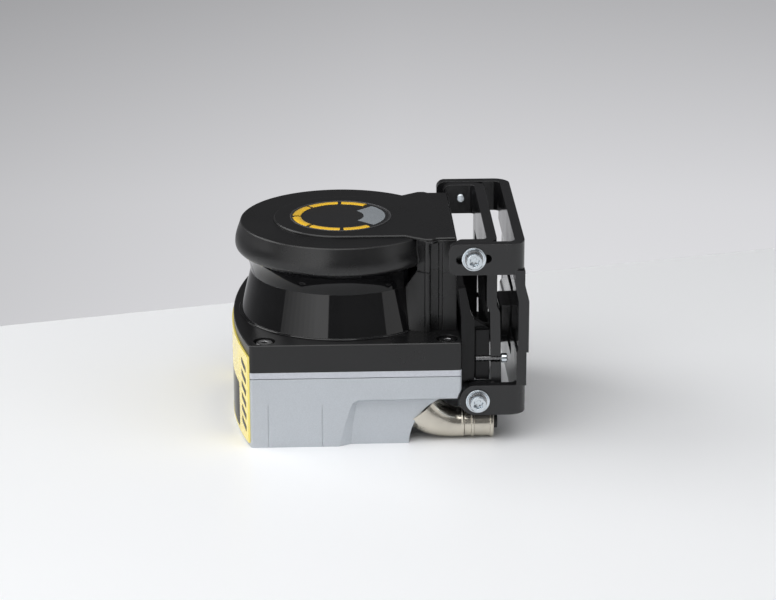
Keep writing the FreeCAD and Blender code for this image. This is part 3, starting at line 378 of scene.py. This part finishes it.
def prism(bm, outline, z0, z1, bevel=0.0, segments=3):
    """Upright prism over a plan outline, with all edges rounded."""
    part = bmesh.new()
    low = [part.verts.new((x, y, z0)) for x, y in outline]
    high = [part.verts.new((x, y, z1)) for x, y in outline]
    part.faces.new(list(reversed(low)))
    part.faces.new(high)
    for index in range(len(outline)):
        after = (index + 1) % len(outline)
        part.faces.new((low[index], low[after], high[after], high[index]))
    if bevel > 0.0:
        part.edges.ensure_lookup_table()
        sharp = [e for e in part.edges if e.calc_face_angle() > math.radians(30.0)]
        bmesh.ops.bevel(part, geom=sharp, offset=bevel, segments=segments, profile=0.5, affect="EDGES")
    merge(bm, part)


def merge(bm, part):
    mesh = bpy.data.meshes.new("part")
    part.to_mesh(mesh)
    part.free()
    bm.from_mesh(mesh)
    bpy.data.meshes.remove(mesh)


def along(axis, x, y, z):
    """Matrix that lays the lathe's +Z along +X, +Y or -Y and moves it to a point."""
    turns = {"+x": Matrix.Rotation(math.radians(90.0), 4, "Y"),
             "-y": Matrix.Rotation(math.radians(90.0), 4, "X"),
             "+y": Matrix.Rotation(math.radians(-90.0), 4, "X")}
    return Matrix.Translation((x, y, z)) @ turns[axis]


# ---- fasteners ------------------------------------------------------------------------------------
PIVOT = (80.8, 27.8)
CLAMP = (77.8, 118.4)
ARM_OUT = 69.0
WASHER_T = 1.3
WASHER_R = 7.3
WASHER_HOLE_R = 3.0
LOCK_WASHER_T = 1.2
HEAD_H = 4.4
HEAD_R = 4.75
HEAD_SOCKET_R = 2.95
HEAD_TURN = 0.4           # radians: how far the sockets are turned from upright
PLAIN_R = 2.65            # plain part of the shank, under the head
PLAIN_LENGTH = 6.0
THREAD_R = 2.45
THREAD_FROM = 54.5
THREAD_LENGTH = 8.3


def star_radius(outer, inner):
    """Radius of a six-lobed socket at an angle."""
    middle = (outer + inner) / 2.0
    swing = (outer - inner) / 2.0
    return lambda angle: middle + swing * math.cos(6.0 * angle)


def hexagon_radius(flat):
    """Radius of a hexagon socket at an angle; flat is half the distance across its sides."""
    return lambda angle: flat / math.cos((angle + math.pi / 6.0) % (math.pi / 3.0) - math.pi / 6.0)


def head_with_socket(bm, side, socket_at, levels, bottom, steps=96):
    """Screw head: its outside profile, then its socket at each (grow, z) level, down to a tip."""
    rings = [level_ring(r, z, steps) for r, z in side]
    for grow, z in levels:
        rings.append([(x, y, z) for x, y in ring_points(steps, lambda a: socket_at(a) + grow)])
    rings.append([(0.0, 0.0, bottom)])
    stack_rings(bm, rings)


def side_head(bm, place):
    """Cheese head of a side screw, with a rounded rim and a six-lobed socket."""
    start = len(bm.verts)
    side = rounded([(0.0, 0.0, 0.0), (HEAD_R, 0.0, 0.15), (HEAD_R, HEAD_H, 0.9),
                    (HEAD_SOCKET_R + 0.9, HEAD_H, 0.0)], 6)
    levels = ((0.3, HEAD_H), (0.0, HEAD_H - 0.35), (-0.05, HEAD_H - 3.1))
    lobes = star_radius(HEAD_SOCKET_R, HEAD_SOCKET_R * 0.74)
    head_with_socket(bm, side, lobes, levels, HEAD_H - 3.7)
    bm.verts.ensure_lookup_table()
    bmesh.ops.transform(bm, matrix=place, verts=bm.verts[start:])


def side_fasteners():
    """Four side screws with their flat washers and split spring washers."""
    screws = bmesh.new()
    washers = bmesh.new()
    springs = bmesh.new()
    for x, z in (PIVOT, CLAMP):
        for axis, side in (("-y", -1.0), ("+y", 1.0)):
            seat = side * ARM_OUT
            flat = rounded([(WASHER_HOLE_R, 0.0, 0.0), (WASHER_R, 0.0, 0.25),
                            (WASHER_R, WASHER_T - 0.1, 0.3), (6.7, WASHER_T, 0.2),
                            (6.1, WASHER_T - 0.15, 0.2), (WASHER_HOLE_R, WASHER_T - 0.15, 0.0)])
            lathe(washers, flat, 96, along(axis, x, seat, z), closed=True)
            split_ring(springs, along(axis, x, seat + side * WASHER_T, z))
            head_at = seat + side * (WASHER_T + LOCK_WASHER_T)
            turned = along(axis, x, head_at, z) @ Matrix.Rotation(HEAD_TURN, 4, "Z")
            side_head(screws, turned)
            shank_end = -WASHER_T - LOCK_WASHER_T - PLAIN_LENGTH
            shank = [(0.0, shank_end), (PLAIN_R, shank_end), (PLAIN_R, 0.1), (0.0, 0.1)]
            lathe(screws, shank, 48, along(axis, x, head_at, z))
            thread(screws, THREAD_R, along(axis, x, side * THREAD_FROM, z), THREAD_LENGTH)
    add_piece("side_screw_set", screws, "scanner", "zinc", ["side_screws"])
    add_piece("side_washer_set", washers, "scanner", "zinc", ["side_washers"])
    add_piece("side_spring_set", springs, "scanner", "steel", ["side_lock_washers"])


def split_ring(bm, place):
    """Spring washer: a square ring cut once, its two ends slightly apart."""
    steps = 72
    gap = math.radians(5.0)
    rows = []
    for index in range(steps + 1):
        share = index / steps
        turn = math.radians(140.0) + gap + (2.0 * math.pi - 2.0 * gap) * share
        lift = 0.12 * share
        corners = ((3.0, 0.0), (5.35, 0.0), (5.5, 0.15), (5.5, 0.75), (5.35, 0.9), (3.0, 0.9))
        rows.append([bm.verts.new(place @ Vector((r * math.cos(turn), r * math.sin(turn), z + lift)))
                     for r, z in corners])
    sweep(bm, rows)


def thread(bm, radius, place, length, pitch=0.8, depth=0.28):
    """Screw thread shown as close ridges."""
    profile = [(0.0, 0.0), (radius - depth, 0.0)]
    count = int(length / pitch)
    for index in range(count):
        z = index * pitch
        profile += [(radius - depth, z + 0.1 * pitch), (radius, z + 0.45 * pitch),
                    (radius, z + 0.6 * pitch), (radius - depth, z + 0.95 * pitch)]
    profile += [(radius - depth, length), (0.0, length)]
    lathe(bm, profile, 40, place)


LINK_Y = 59.6
LINK_Z = 52.0
LINK_X = 80.0             # where the rods start
LINK_LENGTH = 19.5
LINK_R = 1.78
LINK_NUT_X = 95.5
LINK_NUT_R = 2.9
LINK_NUT_T = 3.4


def link_fasteners():
    """Two small threaded rods between the plates, each with a round nut."""
    screws = bmesh.new()
    nuts = bmesh.new()
    for y in (-LINK_Y, LINK_Y):
        thread(screws, LINK_R, along("+x", LINK_X, y, LINK_Z), LINK_LENGTH, 0.7, 0.22)
        outline = rounded([(1.85, 0.0, 0.0), (LINK_NUT_R, 0.0, 0.35), (LINK_NUT_R, LINK_NUT_T, 0.35),
                           (1.85, LINK_NUT_T, 0.0)])
        lathe(nuts, outline, 48, along("+x", LINK_NUT_X, y, LINK_Z), closed=True)
    add_piece("link_screw_set", screws, "scanner", "steel", ["link_screws"])
    add_piece("link_nut_set", nuts, "scanner", "zinc", ["link_nuts"])


LOCK_PLACES = ((-48.0, -61.5), (-48.0, 61.5), (62.5, -61.5), (62.5, 61.5))
LOCK_SEAT = 62.3
LOCK_HEAD_R = 5.2
LOCK_HEAD_H = 2.8
LOCK_SOCKET = 2.0         # half the width of the hexagon socket
LOCK_SHANK_R = 2.5
LOCK_END = -22.1          # below the seat
LOCK_EAR = (1.8, 5.2, 3.5)   # half width, reach and height of the cross ear


def lock_screws():
    """Quarter-turn screws: a domed head with a hexagon socket, a shank and a cross ear."""
    side = rounded([(0.0, 0.0, 0.0), (LOCK_HEAD_R, 0.0, 0.2), (LOCK_HEAD_R, LOCK_HEAD_H, 0.7),
                    (3.1, LOCK_HEAD_H, 0.0)], 6)
    levels = ((0.3, LOCK_HEAD_H), (0.0, LOCK_HEAD_H - 0.3), (0.0, 0.9))
    shank = [(0.0, LOCK_END), (LOCK_SHANK_R - 0.5, LOCK_END), (LOCK_SHANK_R, LOCK_END + 0.5),
             (LOCK_SHANK_R, 0.05), (0.0, 0.05)]
    wide, reach, tall = LOCK_EAR
    ear = [(-wide, -reach), (wide, -reach), (wide, reach), (-wide, reach)]
    for number, (x, y) in enumerate(LOCK_PLACES, start=1):
        bm = bmesh.new()
        head_with_socket(bm, side, hexagon_radius(LOCK_SOCKET), levels, 0.7)
        lathe(bm, shank, 48)
        prism(bm, ear, LOCK_END, LOCK_END + tall, 0.3, 2)
        bmesh.ops.transform(bm, matrix=Matrix.Translation((x, y, LOCK_SEAT)), verts=bm.verts)
        add_piece(f"lock_screw_shape_{number}", bm, f"lock_{number}", "steel", [f"lock_screw_{number}"])


# ---- connector --------------------------------------------------------------------------------------
CON_Y = -55.5
CON_Z = 9.6
COLLAR_R = 9.5
COLLAR_T = 1.6
COLLAR_X = 71.4
NOSE_X = 72.6             # the nose that the coupling nut turns on
NOSE_R = 7.3
NOSE_LENGTH = 8.5
NUT_X = 73.25
# x, z, radius and slope of each station along the elbow
BELL = ((73.0, 9.6, 9.2, 0.0), (68.0, 9.7, 9.3, 3.0), (63.5, 10.4, 9.9, 13.0),
        (58.8, 11.6, 10.9, 26.0), (54.6, 13.4, 11.8, 38.0), (50.6, 16.2, 12.4, 47.0),
        (47.0, 20.0, 12.6, 51.0))


def smooth_between(before, a, b, beyond, t):
    """Value a share t of the way from a to b on a smooth curve through four values."""
    straight = (b - before) * t
    curved = (2 * before - 5 * a + 4 * b - beyond) * t * t
    bent = (3 * a - before - 3 * b + beyond) * t ** 3
    return 0.5 * (2 * a + straight + curved + bent)


def blend_stations(stations, steps):
    """Smooth in-between stations along the bell."""
    rows = []
    last = len(stations) - 1
    for index in range(last):
        near = (stations[max(index - 1, 0)], stations[index], stations[index + 1],
                stations[min(index + 2, last)])
        for step in range(steps):
            rows.append(tuple(smooth_between(*values, step / steps) for values in zip(*near)))
    rows.append(stations[-1])
    return rows


def elbow_piece():
    """Nickel elbow that widens like a bell towards the base."""
    bm = bmesh.new()
    rings = []
    rows = blend_stations(BELL, 8)
    for x, z, radius, turn in rows:
        slope = math.radians(turn)
        ring = []
        for a, b in ring_points(96, lambda angle: radius):
            ring.append((x + b * math.sin(slope), CON_Y + a, z + b * math.cos(slope)))
        rings.append(ring)
    first = rows[0]
    final = rows[-1]
    rings.insert(0, [(first[0], CON_Y, first[1])])
    rings.append([(final[0], CON_Y, final[1])])
    stack_rings(bm, rings)
    collar = rounded([(8.0, 0.0, 0.0), (COLLAR_R, 0.0, 0.7), (COLLAR_R, COLLAR_T, 0.7),
                      (8.0, COLLAR_T, 0.0)])
    lathe(bm, collar, 96, along("+x", COLLAR_X, CON_Y, CON_Z), closed=True)
    nose = [(0.0, 0.0), (NOSE_R, 0.0), (NOSE_R, NOSE_LENGTH), (0.0, NOSE_LENGTH)]
    lathe(bm, nose, 64, along("+x", NOSE_X, CON_Y, CON_Z))
    add_piece("elbow_bell", bm, "scanner", "nickel", ["connector_elbow"])


def nut_piece():
    """Coupling nut: plain sleeve with a raised ring and an end flange."""
    profile = [(7.5, 0.0, 0.0), (8.8, 0.0, 0.2), (8.8, 4.0, 0.1), (9.5, 4.4, 0.6), (9.5, 5.8, 0.6),
               (8.8, 6.2, 0.1), (8.9, 15.5, 0.1), (9.5, 15.8, 0.5), (9.5, 17.9, 0.8), (6.1, 17.9, 0.2),
               (6.1, 9.0, 0.0), (7.5, 8.9, 0.0)]
    bm = bmesh.new()
    lathe(bm, rounded(profile, 4), 128, along("+x", NUT_X, CON_Y, CON_Z), closed=True)
    add_piece("nut_sleeve", bm, "coupling", "nickel", ["coupling_nut"])


# ---- range mark on the cap --------------------------------------------------------------------------
MARK_Z = 125.1
BAR_ANGLES = ((54.0, 87.7), (92.3, 131.8), (137.2, 176.8))
BAR_RADII = (24.3, 29.7)
BAR_SLOPE = 1.5
BAR_LIFT = 0.5
BAR_STEPS = 24


def range_bars():
    """Six raised bars of the range mark, with sloping long sides."""
    bm = bmesh.new()
    inner, outer = BAR_RADII
    section = ((inner, 0.0), (inner + BAR_SLOPE, BAR_LIFT), (outer - BAR_SLOPE, BAR_LIFT), (outer, 0.0))
    for start, end in BAR_ANGLES:
        for a, b in ((start, end), (-end, -start)):
            rows = []
            for index in range(BAR_STEPS + 1):
                turn = math.radians(a + (b - a) * index / BAR_STEPS)
                rows.append([bm.verts.new((r * math.cos(turn), r * math.sin(turn), MARK_Z + lift))
                             for r, lift in section])
            sweep(bm, rows)
    add_piece("range_bars", bm, "scanner", "mark_yellow", ["range_segments"])


def range_rim():
    """Fine raised rings round the range mark."""
    bm = bmesh.new()
    for inner, outer, height in ((30.5, 31.25, 0.32), (29.85, 30.2, 0.12)):
        middle = (inner + outer) / 2.0
        rim = rounded([(inner, 0.0, 0.0), (inner, height, 0.12), (middle, height, 0.0),
                       (outer, height, 0.12), (outer, 0.0, 0.0)], 3)
        lathe(bm, [(r, MARK_Z + z) for r, z in rim], 160, closed=True)
    add_piece("range_rim", bm, "scanner", "magnet_grey", ["range_circle"])


# ---- stage --------------------------------------------------------------------------------------
TABLE_EDGE = ((-0.2275, 0.1617), (0.3254, 0.3088))   # two points of the table's far edge
TABLE_REACH = 3.0


def make_table():
    """Pale table top that ends along a straight far edge."""
    a = Vector((*TABLE_EDGE[0], 0.0))
    b = Vector((*TABLE_EDGE[1], 0.0))
    along_edge = (b - a).normalized()
    back = Vector((along_edge.y, -along_edge.x, 0.0))
    left = a - along_edge * TABLE_REACH
    right = b + along_edge * TABLE_REACH
    mesh = bpy.data.meshes.new("table")
    towards = back * 2.0 * TABLE_REACH
    mesh.from_pydata([left, left + towards, right + towards, right], [], [(0, 1, 2, 3)])
    table = bpy.data.objects.new("table", mesh)
    bpy.context.scene.collection.objects.link(table)
    g = Graph("table_white")
    cloud = g.noise(3.0, 2.0)
    white = g.mix(g.ramp(cloud, 0.3, 0.7), (0.90, 0.91, 0.925), (0.91, 0.92, 0.935))
    g.set(Base_Color=white, Roughness=0.35)
    mesh.materials.append(g.material)


# height of the view direction, and how bright the backdrop is there
BACKDROP = ((-0.35, 0.76), (-0.29, 0.67), (-0.225, 0.43), (-0.10, 0.22), (0.25, 0.07), (1.0, 0.07))
FRONT_GREY = 0.17         # brightness of the dim room in front of the object
DEPTH_FADE = (-0.25, 0.35)                    # where the room gives way to the backdrop
SIDE_FADE = (-0.09, 0.04, 0.825, 1.015)       # sideways from and to, and the strength at each


def make_world():
    """Grey studio backdrop that fades towards the top, and a dim room in front."""
    world = bpy.data.worlds.new("studio")
    bpy.context.scene.world = world
    world.use_nodes = True
    tree = world.node_tree
    background = tree.nodes["Background"]
    coords = tree.nodes.new("ShaderNodeTexCoord")
    split = tree.nodes.new("ShaderNodeSeparateXYZ")
    tree.links.new(coords.outputs["Generated"], split.inputs["Vector"])
    lowest = BACKDROP[0][0]
    highest = BACKDROP[-1][0]
    ramp = tree.nodes.new("ShaderNodeValToRGB")
    tree.links.new(map_range(tree, split.outputs["Z"], lowest, highest), ramp.inputs["Fac"])
    stops = ramp.color_ramp.elements
    stops[0].position = 0.0
    stops[1].position = 1.0
    for z, _ in BACKDROP[1:-1]:
        stops.new((z - lowest) / (highest - lowest))
    for stop, (_, grey) in zip(stops, BACKDROP):
        stop.color = (grey, grey, grey * 1.03, 1.0)
    blend = tree.nodes.new("ShaderNodeMix")
    blend.data_type = "RGBA"
    blend.inputs["A"].default_value = (FRONT_GREY, FRONT_GREY, FRONT_GREY, 1.0)
    tree.links.new(map_range(tree, split.outputs["Y"], *DEPTH_FADE), blend.inputs["Factor"])
    tree.links.new(ramp.outputs["Color"], blend.inputs["B"])
    tree.links.new(blend.outputs["Result"], background.inputs["Color"])
    strength = map_range(tree, split.outputs["X"], *SIDE_FADE)
    tree.links.new(strength, background.inputs["Strength"])


def add_area(name, place, target, width, height, radiance):
    """Rectangular softbox with a given brightness of its face."""
    data = bpy.data.lights.new(name, "AREA")
    data.shape = "RECTANGLE"
    data.size = width
    data.size_y = height
    data.energy = radiance * math.pi * width * height
    lamp = bpy.data.objects.new(name, data)
    bpy.context.scene.collection.objects.link(lamp)
    lamp.location = place
    lamp.rotation_mode = "QUATERNION"
    lamp.rotation_quaternion = (Vector(target) - Vector(place)).to_track_quat("-Z", "Y")
    return lamp


LEFT_EDGE = Vector((-0.50, -1.97, 0.75))      # right end of the wide panel at the left
LEFT_ALONG = Vector((0.677, -0.736, 0.0))
LEFT_AHEAD = Vector((0.736, 0.677, 0.0))
STRIPS = 9                  # overlapping strips give the panel its gradient
STRIP_RADIANCE = 0.14
FIRST_RADIANCE = 0.42
WIDEST_STRIP = 2.0
STRIP_NARROWING = 1.6
PANEL_HEIGHT = 1.7
BASE_CENTRE = (0.0, 0.0, 0.05)
BODY_CENTRE = (0.0, 0.0, 0.10)


def make_lights():
    """Large soft key and top lights, a graded panel at the left, and two weak lights at the right."""
    add_area("key", (-1.9, 0.60, 1.35), BASE_CENTRE, 1.7, 1.7, 3.0)
    add_area("top", (-0.35, -0.75, 1.95), BASE_CENTRE, 2.4, 1.8, 2.28)
    for index in range(STRIPS):
        width = WIDEST_STRIP - STRIP_NARROWING * index / (STRIPS - 1)
        radiance = STRIP_RADIANCE if index > 0 else FIRST_RADIANCE
        middle = LEFT_EDGE - LEFT_ALONG * (width / 2.0) + LEFT_AHEAD * (0.004 * index)
        target = middle + LEFT_AHEAD - Vector((0.0, 0.0, 0.35))
        add_area(f"left_panel_{index}", middle, target, width, PANEL_HEIGHT, radiance)
    add_area("fill", (1.30, -0.50, 1.60), BASE_CENTRE, 1.6, 1.6, 1.0)
    add_area("right_panel", (1.75, -0.95, 0.70), BODY_CENTRE, 0.9, 1.5, 0.60)


# ---- camera ---------------------------------------------------------------------------------------
HEADING = 2.31            # degrees: turn of the view from +Y towards +X
DIP = 18.84               # degrees below the horizon
ROLL = -0.1
DISTANCE = 1.8908
AIM = (0.0292, 0.0, 0.0698)
LENS = 140.76             # mm on a 36 mm sensor


def make_camera():
    """Camera that looks at the near side from a little above."""
    data = bpy.data.cameras.new("camera")
    data.lens = LENS
    data.sensor_width = 36.0
    camera = bpy.data.objects.new("camera", data)
    bpy.context.scene.collection.objects.link(camera)
    turn = math.radians(HEADING)
    dip = math.radians(DIP)
    ahead = Vector((math.sin(turn) * math.cos(dip), math.cos(turn) * math.cos(dip), -math.sin(dip)))
    camera.location = Vector(AIM) - ahead * DISTANCE
    camera.rotation_mode = "QUATERNION"
    look = ahead.to_track_quat("-Z", "Y")
    camera.rotation_quaternion = look @ Matrix.Rotation(math.radians(ROLL), 4, "Z").to_quaternion()
    bpy.context.scene.camera = camera


bpy.context.scene.view_settings.view_transform = "Standard"
paint_cad_nodes()
side_fasteners()
link_fasteners()
lock_screws()
elbow_piece()
nut_piece()
range_bars()
range_rim()
make_table()
make_world()
make_lights()
make_camera()
